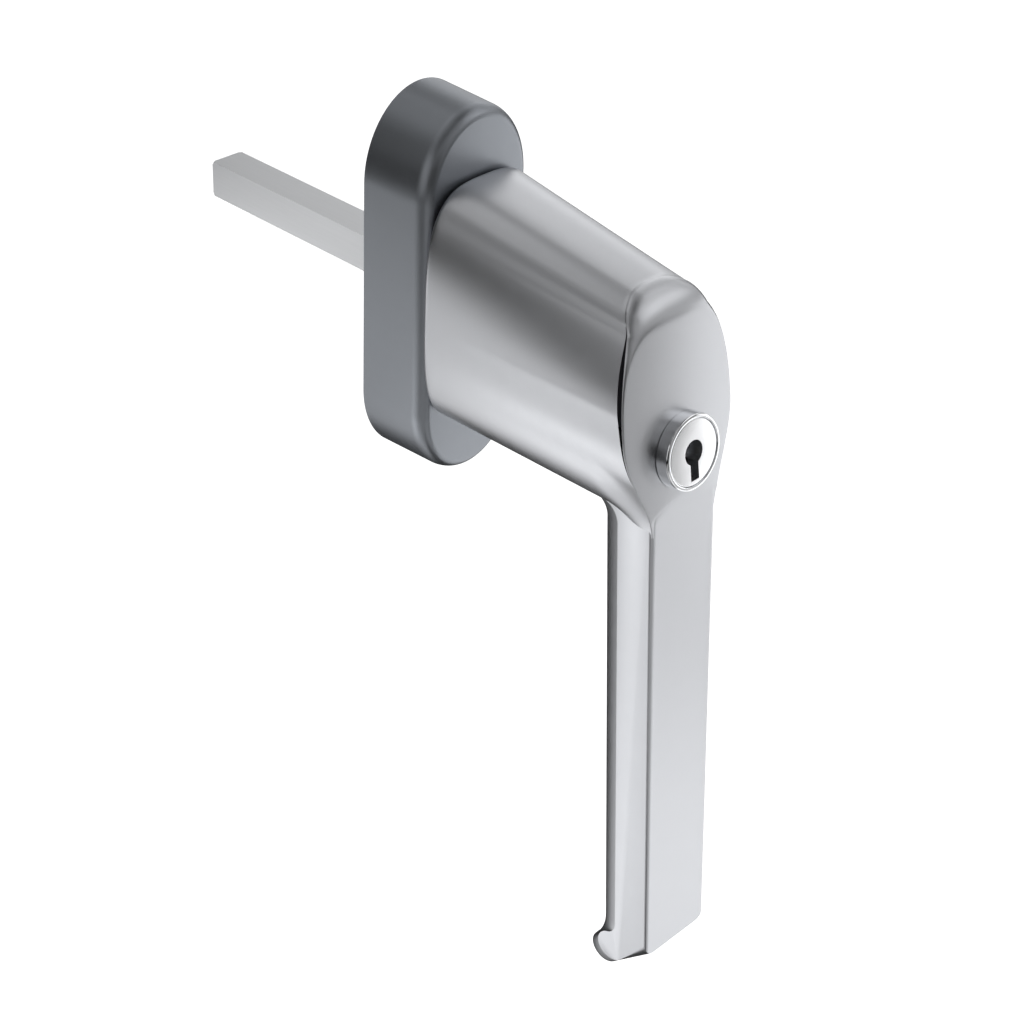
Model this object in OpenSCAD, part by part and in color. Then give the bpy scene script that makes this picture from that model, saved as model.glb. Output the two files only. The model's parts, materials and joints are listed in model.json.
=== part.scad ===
// Locking window handle: a long rosette, a tapered neck, a keyed head and a flat grip.
// The spindle axis is Y, the window lies at +Y, the room at -Y and +Z is up.
// The origin is on the spindle axis in the plane of the rosette's mounting face.
// A depth below is a distance from the mounting face towards the room.

/* [Rosette] */
// Width of the rosette at the mounting face
rosette_w = 25.6; // [24.5:0.1:28]
// Height of the rosette at the mounting face
rosette_h = 71; // [68:1:80]
// Depth of the side wall, up to the crease
rosette_side = 11.7; // [11.2:0.1:12.2]
// Depth of the flat front
rosette_depth = 14.7; // [14.4:0.1:15.5]
// Width of the rounded band between crease and flat front
rosette_band = 2.1; // [1.6:0.1:2.6]
// Inward draft of the side wall
rosette_draft = 0.4; // [0:0.05:0.6]
// Height of the rosette's rounded ends as a multiple of half its width
rosette_end = 1.2; // [1:0.05:1.5]
// Wall of the cover
cover_wall = 1.5; // [1.2:0.1:1.8]

/* [Base plate] */
// Distance between the two fixing screws
screw_spacing = 43; // [41:0.5:46]
// Clearance hole of a fixing screw
screw_hole = 5.3; // [4.3:0.1:6]
// Countersink of a fixing screw
screw_head = 10; // [8:0.5:11]
// Diameter of a locating lug
lug_d = 10; // [9:0.5:12]
// Length of a locating lug behind the mounting face
lug_length = 5.5; // [3:0.5:8]
// Step between a locating lug and its wider root in the backing plate
lug_step = 0.5; // [0.3:0.1:0.8]
// Thickness of the steel backing plate
backing_t = 1.2; // [1:0.1:1.6]
// Depth at which the detent pocket ends
pocket_depth = 8.4; // [8.2:0.1:9]

/* [Bearing and detent] */
// Diameter of the collar that turns in the bush
collar_d = 13.8; // [13:0.1:14]
// Wall of the bush
bush_wall = 1.05; // [0.9:0.05:1.1]
// Diameter of the tail behind the collar
tail_d = 12; // [11.6:0.1:12.4]
// Distance between the two flats on the tail
tail_flats = 10; // [9.6:0.1:10.4]
// Distance across the flats of the detent cam
cam_flats = 15; // [14.6:0.1:15.4]
// Diameter across the rounded corners of the detent cam
cam_corners = 17.6; // [17.2:0.1:18]
// Thickness of the detent cam
cam_t = 4; // [3:0.1:4]
// Thickness of the detent spring strip
strip_t = 0.7; // [0.5:0.05:0.8]
// Length of the detent spring strip
strip_length = 18; // [16:0.5:18.4]
// Thickness of the thrust washer
washer_t = 0.75; // [0.5:0.05:0.9]
// Thickness of the retaining ring
ring_t = 0.8; // [0.6:0.05:1]
// Outer diameter of the retaining ring
ring_d = 16; // [15:0.5:17]
// Thickness of the glide ring in the cover
glide_wall = 1.35; // [1:0.05:1.4]

/* [Spindle] */
// Side of the square spindle
spindle_size = 7; // [6:0.1:7.2]
// Length of the spindle behind the mounting face
spindle_reach = 52; // [20:1:90]
// Depth of the spindle's end inside the handle
spindle_end = 37; // [30:1:38]
// Chamfer on the spindle's ends
spindle_chamfer = 0.4; // [0.2:0.1:0.8]
// Diameter of the roll pin through collar and spindle
roll_pin_d = 2.5; // [2:0.1:3]

/* [Neck] */
// Gap between the rosette and the turning neck
neck_gap = 0.4; // [0.3:0.05:0.6]
// Width of the neck at the rosette
neck_root_w = 26.9; // [25.6:0.1:28]
// Height of the neck's top above the spindle axis at the rosette
neck_root_top = 23.7; // [22:0.1:25]
// Width of the neck behind the head
neck_front_w = 24.7; // [23.6:0.1:25.6]
// Height of the neck's top above the spindle axis behind the head
neck_front_top = 16.2; // [15.2:0.1:16.8]
// Distance of the neck's underside below the spindle axis
neck_bottom = 21.2; // [20.8:0.1:22]
// Rounding of the neck's edge next to the rosette
neck_edge = 1.2; // [0.6:0.1:1.6]
// Roundness of the neck's upper half, 2 for an ellipse
neck_top_power = 3.2; // [2.4:0.1:3.6]
// Roundness of the neck's lower half, more for a squarer one
neck_bottom_power = 3.6; // [3:0.1:4.4]

/* [Head] */
// Backward tilt of the lock and of the head's face around it
head_tilt = 9.5; // [8.5:0.25:10.5]
// Radius of the head's face, seen from the side
head_curve = 900; // [300:50:1500]
// Depth of the head's face at the bend, on the centre line
head_depth = 64.3; // [63:0.1:65]
// Distance of the bend below the spindle axis
head_bend = 17; // [16:0.5:18]
// Widest half width of the head
head_half_w = 13.5; // [13.2:0.1:14.5]
// Distance of the head's widest place below the spindle axis
head_mid = 4.2; // [3:0.1:5]
// Height of the head above its widest place
head_rise = 22.2; // [21:0.1:22.6]
// Roundness of the head above its widest place, 2 for an ellipse
head_power = 2.3; // [2:0.05:2.6]
// Thickness of the head's lip at its sides
head_lip = 2.2; // [1.8:0.1:2.6]
// Rounding of the head's edge
head_edge = 0.5; // [0.3:0.1:0.8]
// Rounding of the head's edge at its very top
head_soft = 3; // [2:0.1:3.4]
// Depth of the groove between the neck and the lip
head_groove = 0.8; // [0.3:0.1:1.2]
// Width by which the neck's shoulders stand out beside the head's top
head_shoulder = 1; // [0.6:0.1:1.4]
// Length over which the neck's section passes into the head's outline
head_blend = 9; // [7:0.5:14]
// Fall of the crowned face at the head's edge
head_crown = 0.3; // [0.1:0.1:0.6]

/* [Grip] */
// Width of the grip
grip_w = 16.3; // [15:0.1:17.5]
// Forward lean of the grip
grip_lean = 4.55; // [3:0.05:6]
// Distance of the grip's front lower corner below the spindle axis
grip_drop = 112.4; // [95:0.2:130]
// Depth of the grip's flat side face, front to rear
grip_side = 7.6; // [6.6:0.1:8.6]
// Rise of the rounded back behind the side face
grip_back = 4.6; // [3.6:0.1:5.2]
// Width over which the back rounds
grip_round = 3; // [2.4:0.1:4]
// Rounding of the grip's front edges
grip_edge = 0.8; // [0.4:0.1:1.2]
// Radius of the finger stop at the grip's end
nose_r = 3.1; // [2.6:0.1:3.6]
// Distance of the finger stop's centre behind the grip's front corner
nose_back = 8.5; // [7.6:0.1:9.2]
// Distance of the finger stop's centre below the grip's front corner
nose_drop = 2.9; // [2.2:0.1:3.6]
// Radius of the grip's lower corners, seen from the front
corner_r = 2.3; // [1.2:0.1:2.8]
// Radius of the fillet between neck and grip
neck_fillet = 2; // [1.6:0.1:2.2]

/* [Lock] */
// Outer diameter of the lock's ring
lock_ring_d = 13.4; // [13:0.1:14]
// Height of the lock's face above the head
lock_proud = 2.43; // [2:0.01:2.6]
// Distance of the lock's centre below the spindle axis, on the head
lock_drop = 9.2; // [9:0.1:9.4]
// Diameter of the lock's body in the head
lock_body_d = 12.8; // [12.4:0.1:12.9]
// Length of the lock, face to rear end
lock_length = 18.4; // [18.3:0.1:18.8]
// Diameter of the plug's face
plug_face_d = 11.8; // [11:0.1:12]
// Thickness of the plug's face
plug_face_t = 3; // [2.5:0.1:3.5]
// Diameter of the plug's core
plug_core_d = 8.8; // [8.4:0.1:9]
// Diameter of the round part of the keyhole
keyhole_d = 4.4; // [4:0.1:4.8]
// Width of the keyhole's slot
keyhole_slot = 2; // [1.6:0.1:2.2]
// Distance of the slot's end below the plug's centre
keyhole_reach = 5; // [4.4:0.1:5.2]
// Number of wafers
wafer_count = 4; // [2:1:4]
// Distance from wafer to wafer
wafer_pitch = 2.6; // [2.4:0.1:2.8]
// Thickness of a wafer
wafer_t = 1; // [0.8:0.1:1.1]
// Width of a wafer
wafer_w = 5.4; // [5:0.1:5.6]
// Travel of a wafer
wafer_travel = 0.6; // [0.4:0.05:0.7]
// Diameter of the cam on the plug's end
driver_d = 10.6; // [10.2:0.1:11]
// Thickness of the cam's disc
driver_t = 1.2; // [1:0.1:1.4]
// Diameter of the grub screw that holds the lock
grub_d = 2.4; // [2:0.1:2.6]
// Distance of the grub screw's axis behind the head's front
grub_inset = 14.8; // [14.5:0.1:15.1]
// Height of the low end of the cam's ramp above its disc
ramp_foot = 0.4; // [0.3:0.05:0.6]

/* [Locking bolt] */
// Diameter of the locking bolt
bolt_d = 3.6; // [3.2:0.1:3.8]
// Distance of the locking bolt below the spindle axis
bolt_drop = 10.6; // [10.5:0.05:10.8]
// Travel of the locking bolt in a quarter turn of the key
bolt_travel = 5; // [4:0.1:5]
// Diameter of the bolt's flange
flange_d = 6.6; // [6:0.1:6.8]
// Thickness of the bolt's flange
flange_t = 1.5; // [1.2:0.1:1.8]
// Distance of the flange's rear face behind the head's front
flange_inset = 27.7; // [27.3:0.1:28.1]
// Distance by which the drawn bolt's end stays inside the neck
bolt_recess = 0.4; // [0.3:0.05:0.6]
// Diameter of the bolt's nose
nose_pin_d = 1.8; // [1.6:0.1:2]
// Distance of the nose above the bolt's axis
nose_raise = 1.5; // [1.4:0.1:1.7]
// Wire of the return spring
coil_wire = 0.6; // [0.4:0.05:0.7]
// Turns of the return spring
coil_turns = 6; // [4:1:6]
// Length of the return spring's space when the bolt is drawn
spring_space = 9.2; // [8.8:0.1:9.6]

/* [Fits] */
// Radial clearance of a running fit
running = 0.05; // [0.02:0.01:0.08]
// Radial clearance of a loose fit
loose = 0.2; // [0.1:0.05:0.3]
// Radial clearance of a seated piece
seated = 0.02; // [0.01:0.01:0.05]

/* [Hidden] */
$fn = 64;
eps = 0.01;

plate_front = rosette_depth - cover_wall;
lug_root_d = lug_d + 2 * lug_step;
neck_root = rosette_depth + neck_gap;
bush_d = collar_d + 2 * (running + bush_wall);
glide_d = collar_d + 2 * (running + glide_wall);
washer_front = pocket_depth - running;
cam_front = washer_front - washer_t - running;
ring_front = cam_front - cam_t - running;
tail_end = ring_front - ring_t - 1;
groove_d = tail_d - 1;
strip_w = cam_t;
bolt_hole = bolt_d + 2 * loose;
plate_inset = cover_wall + rosette_draft + loose;
face_slope = tan(head_tilt);
lean_slope = tan(grip_lean);

// y of the head's face on the centre line, and of the grip's front, at a height z
function arc_y(z) = face_slope * (z + lock_drop) + pow(z + lock_drop, 2) / (2 * head_curve);
function face_y(z) = arc_y(z) - arc_y(-head_bend) - head_depth;
function grip_y(z) = -head_depth + lean_slope * (z + head_bend);

lock_seat = [0, face_y(-lock_drop), -lock_drop];
lock_face = lock_seat + lock_proud * [0, -cos(head_tilt), sin(head_tilt)];

// Position along the lock's axis, from its face, of a point in the middle plane
function lock_s(y, z) = (y - lock_face[1]) * cos(head_tilt) - (z - lock_face[2]) * sin(head_tilt);

grub_depth = head_depth - grub_inset;
flange_depth = head_depth - flange_inset;
spring_seat = flange_depth - spring_space;
driver_front = lock_length + running;
driver_rear = driver_front + driver_t;
cam_rate = bolt_travel * cos(head_tilt) / 90;
nose_z = nose_raise - bolt_drop;
nose_off = (nose_z - lock_face[2] + (driver_rear + 1.5) * sin(head_tilt)) / cos(head_tilt);
nose_half_angle = asin(nose_pin_d / 2 / nose_off);
ramp_lead = nose_half_angle + 5;
ramp_lag = 90 + nose_half_angle + 2;
nose_s = driver_rear + ramp_foot + cam_rate * (ramp_lead + nose_half_angle)
    + nose_pin_d / 2 * sin(head_tilt) + 3 * running;
ramp_top = driver_rear + ramp_foot + cam_rate * (ramp_lead + ramp_lag);
nose_end = lock_face[1] + (nose_s + (nose_z - lock_face[2]) * sin(head_tilt)) / cos(head_tilt);
cavity_d = driver_d + 2 * loose;
cavity_end = ramp_top + 0.4;
spring_bore = flange_d + 2 * loose;

// Shapes that repeat

// A plate between two depths; the drawing's second axis points down
module layer(near, far) {
    translate([0, -far, 0]) rotate([-90, 0, 0]) linear_extrude(far - near) children();
}
module rod(near, far, d) { layer(near, far) circle(d = d); }
// The lock's own frame: Z runs from the lock's face into the head, Y points down
module in_lock() { translate(lock_face) rotate([-90 - head_tilt, 0, 0]) children(); }
// Outline of the rosette moved inward: straight sides and elliptical ends, in steps of 6 degrees
function oval(inset) =
    let(rx = rosette_w / 2 - inset, rz = rosette_end * rosette_w / 2 - inset,
        run = rosette_h / 2 - rosette_end * rosette_w / 2)
    [for (i = [0:61]) let(a = 6 * (i - (i > 30 ? 1 : 0)))
        [rx * cos(a), (i > 30 ? -run : run) + rz * sin(a)]];
module at_screws() { for (s = [-1, 1]) translate([0, 0, s * screw_spacing / 2]) children(); }
module at_bolts() { for (s = [-1, 1]) translate([0, 0, s * bolt_drop]) children(); }

// Skin over closed rings that run anticlockwise, seen from the last one
module skin(rings) {
    n = len(rings[0]);
    m = len(rings);
    points = [for (r = rings) for (q = r) q];
    walls = [for (j = [0:m - 2]) for (i = [0:n - 1]) let(k = (i + 1) % n, a = j * n, b = a + n)
        for (t = [[a + i, b + k, a + k], [a + i, b + i, b + k]]) t];
    caps = [[for (i = [0:n - 1]) i], [for (i = [n - 1:-1:0]) (m - 1) * n + i]];
    polyhedron(points, concat(walls, caps), convexity = 6);
}

// Outer form of the handle

function lerp(a, b, u) = a + (b - a) * u;
neck_mid = 1;
neck_run = head_depth - neck_root;
sides = 72;
// Place of point i on a ring that starts at the right: side, up or down, and share of the height
function turn(i) = let(k = floor(4 * i / sides), f = 4 * i / sides - k)
    [k == 1 || k == 2 ? -1 : 1, k < 2 ? 1 : -1, sin(90 * (k % 2 == 0 ? f : 1 - f))];
// Half width of a rounded outline at a share v of its height
function flank(v, power) = pow(max(0, 1 - pow(v, power)), 1 / power);
function neck_point(i, u, inset) =
    let(t = turn(i), up = t[1] > 0,
        half = flank(t[2], up ? neck_top_power : neck_bottom_power),
        top = lerp(neck_root_top, neck_front_top, u) - neck_mid - inset,
        bottom = neck_bottom + neck_mid - inset)
    [t[0] * half * (lerp(neck_root_w, neck_front_w, u) / 2 - inset), neck_mid + t[2] * (up ? top : -bottom)];
function neck_ring(depth, inset) = [for (i = [0:sides - 1])
    let(q = neck_point(i, (depth - neck_root) / neck_run, inset)) [q[0], -depth, q[1]]];

// Outline of the head: a rounded upper part and two long curves down to the grip
head_tail = 20;
head_end_w = grip_w / 2 - 0.25;
function head_side(u) = head_end_w + (head_half_w - head_end_w) * (1 + cos(180 * u)) / 2;
function head_half(z) = z > -head_mid
    ? head_half_w * flank((z + head_mid) / head_rise, head_power)
    : head_side(min(1, (-head_mid - z) / head_tail));
function head_point(i) =
    let(t = turn(i),
        reach = t[1] > 0 ? head_rise - head_mid - neck_mid : head_tail + head_mid + neck_mid,
        z = neck_mid + t[1] * t[2] * reach,
        tip = neck_front_w / 2 * flank(t[2], neck_bottom_power))
    [t[0] * (t[1] < 0 && t[2] > 0.85 ? min(head_half(z), tip) : head_half(z)), z];
// Share of the groove, 1 at mid height and nothing at the head's top and bottom
function groove_at(z) = max(0, 1 - pow((z - 1) / 16, 4));
function edge_at(z) = lerp(head_edge, head_soft, pow(max(0, (z + head_mid) / head_rise), 8));
// How far the neck's shoulders stand out beside the head's top
function shoulder_at(q) = head_shoulder * max(0, min(1, (q[1] - 13) / 3)) * min(1, abs(q[0]) / 3);
function front_y(x, z) = max(face_y(z) + head_crown * pow(x / head_half_w, 2), grip_y(z) + 0.05);
// The head's outline moved inward by inset, its neck end moved outward by the shoulder
function head_inset(q, inset, shoulder) = let(r = norm([q[0], q[1] + head_mid]), k = 1 - inset / r)
    [q[0] * k + sign(q[0]) * shoulder, (q[1] + head_mid) * k - head_mid];
// The neck's last stretch: t is 0 on its plain section and 1 behind the head's lip
function neck_last(t) = [for (i = [0:sides - 1])
    let(
        h = head_point(i),
        lip = lerp(edge_at(h[1]) * 1.2, head_lip, groove_at(h[1])),
        y = lerp(head_blend - head_depth, front_y(h[0], h[1]) + lip, t),
        q = neck_point(i, (-y - neck_root) / neck_run, 0),
        inset = max(0.1, head_groove * groove_at(q[1])),
        limit = head_half(q[1]) - inset + shoulder_at(q))
    [lerp(q[0], sign(q[0]) * min(abs(q[0]), limit), t * t * (3 - 2 * t)), y, q[1]]];
// The groove's floor and the head's edge: a is 0 at the widest place and 90 on the face
function head_under() = [for (i = [0:sides - 1])
    let(h = head_point(i), g = groove_at(h[1]),
        q = head_inset(h, lerp(0.05, head_lip, g), shoulder_at(h)))
    [q[0], front_y(h[0], h[1]) + lerp(edge_at(h[1]) * 1.1, head_lip + head_crown, g), q[1]]];
function head_rim(a) = [for (i = [0:sides - 1])
    let(h = head_point(i), e = edge_at(h[1]),
        q = head_inset(h, e * (1 - cos(a)), shoulder_at(h) * cos(a)))
    [q[0], front_y(q[0], q[1]) + e * (1 - sin(a)), q[1]]];
function head_face(k) = [for (q = head_rim(90))
    let(x = k * q[0], z = k * (q[2] + head_mid) - head_mid) [x, front_y(x, z), z]];
module neck_and_head() {
    skin(concat(
        [for (a = [0:22.5:90]) neck_ring(neck_root + neck_edge * (1 - cos(a)), neck_edge * (1 - sin(a)))],
        [for (u = [0.2:0.2:0.8]) neck_ring(lerp(neck_root, head_depth - head_blend, u), 0)],
        [for (t = [0:0.2:1]) neck_last(t)],
        [head_under()],
        [for (a = [0:15:90]) head_rim(a)],
        [for (k = [0.8, 0.6, 0.4, 0.2]) head_face(k)]));
}

// Side outline of the grip, moved outward by rise; inset and lift round its front corners
grip_top = -head_bend;
rear_dir = [-sin(grip_lean), -cos(grip_lean)];
rear_out = [cos(grip_lean), -sin(grip_lean)];
corner = [grip_y(-grip_drop), -grip_drop];
function nose_at(rise) = corner + [nose_back + 0.71 * rise, -nose_drop - 0.9 * rise];
function rear_at(z, rise) = [grip_y(z) + (grip_side + rise) / cos(grip_lean), z];
function grip_outline(rise, inset, lift) =
    let(
        nose = nose_at(rise),
        hollow_r = 3 + 1.4 * rise,
        base = rear_at(-grip_drop, rise) + hollow_r * rear_out,
        off = (base - nose) * rear_out,
        along = (nose - base) * rear_dir,
        hollow = base + rear_dir * (along - sqrt(pow(nose_r + hollow_r, 2) - off * off)),
        front = corner + [0, lift],
        meet = atan2(hollow[1] - nose[1], hollow[0] - nose[0]),
        to_front = front - nose,
        leave = atan2(to_front[1], to_front[0]) - 360 + acos(min(1, nose_r / norm(to_front))),
        fillet = rear_at(-neck_bottom - neck_fillet, rise) + [neck_fillet, 0])
    concat(
        [[grip_y(grip_top) + inset, grip_top], fillet + [0, neck_fillet + 3]],
        [for (a = [90:15:180]) fillet + neck_fillet * [cos(a), sin(a)]],
        [for (u = [0:0.25:1]) let(a = lerp(180 - grip_lean, meet + 180, u)) hollow + hollow_r * [cos(a), sin(a)]],
        [for (u = [0.1:0.1:1]) let(a = lerp(meet, leave, u)) nose + nose_r * [cos(a), sin(a)]],
        [front + [inset, 0]]);
function quarter(t, r) = t >= r ? 0 : r - sqrt(r * r - pow(r - t, 2));
function back_rise(t) = grip_back * (1 - pow(1 - min(1, t / grip_round), 2));
grip_steps = [0, 0.1, 0.3, 0.6, 1, 1.5, 2.1, 3];
function grip_slice(x) = let(t = grip_w / 2 - abs(x))
    [for (q = grip_outline(back_rise(t), quarter(t, grip_edge), quarter(t, corner_r))) [x, q[0], q[1]]];
grip_x = concat(
    [for (t = grip_steps) grip_w / 2 - t],
    [for (i = [len(grip_steps) - 1:-1:0]) grip_steps[i] - grip_w / 2]);
module grip_form() { skin([for (x = grip_x) grip_slice(x)]); }

// Fixed pieces

module base_plate() {
    color("dimgray") difference() {
        union() {
            layer(backing_t, rosette_side - cover_wall) polygon(oval(plate_inset));
            layer(backing_t, plate_front - seated) polygon(oval(plate_inset + rosette_band));
            at_screws() {
                rod(-lug_length, backing_t + eps, lug_d);
                rod(0, backing_t + eps, lug_root_d);
            }
        }
        rod(pocket_depth - eps, plate_front + eps, bush_d);
        rod(backing_t - eps, pocket_depth, cam_corners + 4 * loose);
        layer(backing_t - eps, cam_front + loose) {
            square([strip_length + 2 * seated, cam_flats + 2 * (running + strip_t + seated)], center = true);
            square([strip_length - 4, cam_corners + 2 * strip_t + 4 * loose], center = true);
        }
        at_screws() {
            rod(-lug_length - eps, plate_front + eps, screw_hole);
            translate([0, -plate_front, 0]) rotate([-90, 0, 0])
                cylinder(d1 = screw_head, d2 = screw_hole, h = (screw_head - screw_hole) / 2);
        }
        at_bolts() rod(pocket_depth - eps, plate_front + eps, bolt_hole);
    }
}

module backing_plate() {
    color("silver") difference() {
        layer(0, backing_t) polygon(oval(plate_inset));
        rod(-eps, backing_t + eps, tail_d + 2 * loose);
        at_screws() rod(-eps, backing_t + eps, lug_root_d + 2 * seated);
    }
}

function oval_ring(inset, depth) = [for (q = oval(inset)) [q[0], -depth, q[1]]];
module cover_form(wall) {
    rise = rosette_depth - rosette_side;
    skin([
        oval_ring(wall, wall > 0 ? -1 : 0),
        for (a = [0:15:90]) oval_ring(
            wall + rosette_draft + rosette_band * (1 - cos(a)),
            rosette_side + rise * sin(a) - wall)]);
}
module rosette_cover() {
    color("gray") difference() {
        cover_form(0);
        cover_form(cover_wall);
        rod(0, rosette_depth + eps, glide_d + 2 * seated);
        at_bolts() rod(0, rosette_depth + eps, bolt_hole);
    }
}

module ring(near, far, outer, inner) { layer(near, far) difference() { circle(d = outer); circle(d = inner); } }

module bearing_bush() {
    color("whitesmoke") ring(pocket_depth, plate_front, bush_d - 2 * seated, collar_d + 2 * running);
}

module glide_ring() {
    color("black") ring(plate_front + seated, rosette_depth, glide_d, collar_d + 2 * running);
}

module detent_strip() {
    translate([0, -(ring_front + cam_front) / 2, cam_flats / 2 + running + strip_t / 2])
        cube([strip_length, strip_w, strip_t], center = true);
}
module detent_spring_upper() { color("silver") detent_strip(); }
module detent_spring_lower() { color("silver") mirror([0, 0, 1]) detent_strip(); }

// Pieces that turn with the handle

module tail_section(clearance) {
    intersection() {
        circle(d = tail_d + 2 * clearance);
        square([tail_flats + 2 * clearance, tail_d + 2], center = true);
    }
}

module handle_body() {
    color("silver") difference() {
        union() {
            neck_and_head();
            grip_form();
            rod(pocket_depth + running, neck_root + 1, collar_d);
            layer(tail_end, pocket_depth + 1) tail_section(0);
        }
        layer(tail_end - eps, spindle_end + 1) square(spindle_size + 2 * running, center = true);
        ring(ring_front - ring_t - seated, ring_front + seated, tail_d + 2, groove_d);
        cross_hole(collar_d + 2);
        in_lock() {
            translate([0, 0, -2]) cylinder(d = lock_body_d + 2 * seated, h = lock_length + 2.4);
            cylinder(d = cavity_d, h = cavity_end);
        }
        translate([0, 0, -bolt_drop]) {
            rod(neck_root - 1, flange_depth, bolt_d + 2 * running);
            rod(spring_seat, -nose_end, spring_bore);
        }
        translate([0, -grub_depth, -neck_bottom - 1]) cylinder(d = grub_d + 2 * seated, h = grub_d + 4);
    }
}
module spindle() {
    half = (spindle_reach + spindle_end) / 2;
    reach = spindle_size / sqrt(2);
    c = spindle_chamfer;
    color("lightgray") difference() {
        intersection() {
            layer(-spindle_reach, spindle_end) square(spindle_size, center = true);
            translate([0, half - spindle_end, 0]) rotate([90, 0, 0]) rotate_extrude()
                polygon([[0, -half], [reach - c, -half], [reach, c - half],
                    [reach, half - c], [reach - c, half], [0, half]]);
        }
        cross_hole(spindle_size + 2);
    }
}

module across(d, length) {
    translate([0, -(pocket_depth + plate_front) / 2, 0]) rotate([0, 90, 0])
        cylinder(d = d, h = length, center = true);
}
module cross_hole(length) { across(roll_pin_d, length); }
module spindle_roll_pin() {
    color("dimgray") difference() {
        across(roll_pin_d - 2 * seated, collar_d - 0.6);
        across(roll_pin_d / 2, collar_d);
    }
}

module thrust_washer() {
    color("silver") ring(washer_front - washer_t, washer_front, cam_corners + 0.2, tail_d + 2 * running);
}

module detent_cam() {
    color("white") layer(cam_front - cam_t, cam_front) difference() {
        intersection() {
            square(cam_flats, center = true);
            circle(d = cam_corners);
        }
        tail_section(running);
    }
}

module retaining_ring() {
    color("dimgray") layer(ring_front - ring_t, ring_front) difference() {
        circle(d = ring_d);
        circle(d = groove_d);
        translate([0, ring_d / 2]) square([groove_d * 0.6, ring_d], center = true);
    }
}

module lock_housing() {
    groove = plug_core_d + 2 * running + 2 * (wafer_travel + 0.25);
    color("gainsboro") in_lock() difference() {
        union() {
            cylinder(d1 = lock_ring_d - 0.8, d2 = lock_ring_d, h = 0.4);
            translate([0, 0, 0.4]) cylinder(d = lock_ring_d, h = lock_proud - 0.4);
            translate([0, 0, lock_proud - eps]) cylinder(d = lock_body_d, h = lock_length - lock_proud + eps);
        }
        translate([0, 0, -eps]) cylinder(d = plug_face_d + 2 * running, h = plug_face_t + 2 * running);
        cylinder(d = plug_core_d + 2 * running, h = lock_length + 1);
        for (turn = [0, 90]) rotate([0, 0, turn]) translate([-wafer_w / 2 - 0.1, -groove / 2, wafer_s(0) - 1])
            cube([wafer_w + 0.2, groove, wafer_pitch * (wafer_count - 1) + wafer_t + 2]);
        translate([0, lock_body_d / 2, lock_s(-grub_depth, -neck_bottom)]) sphere(d = 1.6);
    }
}
function wafer_s(i) = plug_face_t + 1.6 + i * wafer_pitch;

module lock_grub_screw() {
    low = -neck_bottom + 0.4;
    color("dimgray") translate([0, -grub_depth, low]) difference() {
        cylinder(d = grub_d, h = grub_top - low);
        translate([0, 0, -eps]) cylinder(d = 1.7, h = 1, $fn = 6);
    }
}
grub_top = lock_face[2] - (-grub_depth - lock_face[1] + grub_d / 2) * face_slope
    - (lock_body_d / 2 + seated) / cos(head_tilt) - seated;

module coil(near, far, mean_d, wire, turns) {
    steps = turns * 16;
    skin([for (i = [0:steps]) let(a = 360 * i / 16, y = lerp(-near - wire / 2, -far + wire / 2, i / steps))
        [for (k = [0:5]) let(b = 60 * k, r = mean_d / 2 + wire / 2 * cos(b))
            [r * cos(a), y + wire / 2 * sin(b), r * sin(a)]]]);
}

module bolt_return_spring() {
    color("silver") translate([0, 0, -bolt_drop])
        coil(spring_seat + seated, flange_depth - seated, flange_d - coil_wire - 0.2, coil_wire, coil_turns);
}

// Pieces that turn with the key

module key_section() {
    circle(d = keyhole_d);
    translate([-keyhole_slot / 2, 0]) square([keyhole_slot, keyhole_reach]);
}

module lock_plug() {
    color("gainsboro") in_lock() difference() {
        union() {
            translate([0, 0, 0.1]) cylinder(d = plug_face_d, h = plug_face_t - 0.1);
            cylinder(d = plug_core_d, h = lock_length - running);
        }
        translate([0, 0, -1]) linear_extrude(plug_face_t + 1) key_section();
        translate([-keyhole_slot / 2, -2.2, 0]) cube([keyhole_slot, 5.6, wafer_s(wafer_count - 1) + 2]);
        for (i = [0:wafer_count - 1])
            translate([-wafer_w / 2 - running, -plug_core_d, wafer_s(i) - running])
                cube([wafer_w + 2 * running, plug_core_d + 3, wafer_t + 2 * running]);
        translate([0, 0, lock_length - 4]) cylinder(d = 1.8 + 2 * seated, h = 5);
    }
}

module lock_driver() {
    steps = 26;
    inner = 1.8;
    outer = driver_d / 2 - 0.1;
    base = driver_rear - driver_t / 2;
    color("goldenrod") in_lock() union() {
        difference() {
            translate([0, 0, driver_front]) cylinder(d = driver_d, h = driver_t);
            translate([0, 0, driver_front - 1]) cylinder(d = 1.8 + 2 * seated, h = 5);
            translate([0, 0, driver_rear - 0.9]) cylinder(d1 = 1.8, d2 = 3.4, h = 0.9 + eps);
        }
        // The ramp climbs against the turn of the key, whose sense is clockwise from the room
        skin([for (i = [0:steps])
            let(a = -90 + ramp_lead - (ramp_lead + ramp_lag) * i / steps,
                top = driver_rear + ramp_foot + cam_rate * (ramp_lead + ramp_lag) * i / steps)
            [for (q = [[inner, base], [outer, base], [outer, top], [inner, top]])
                [q[0] * cos(a), q[0] * sin(a), q[1]]]]);
    }
}

module driver_screw() {
    color("silver") in_lock() difference() {
        union() {
            translate([0, 0, lock_length - 3.8]) cylinder(d = 1.8, h = 3.8 + running + driver_t - 0.5);
            translate([0, 0, driver_rear - 0.9]) cylinder(d1 = 1.8, d2 = 3.3, h = 0.85);
        }
        translate([-0.25, -2, driver_rear - 0.35]) cube([0.5, 4, 1]);
    }
}

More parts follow.
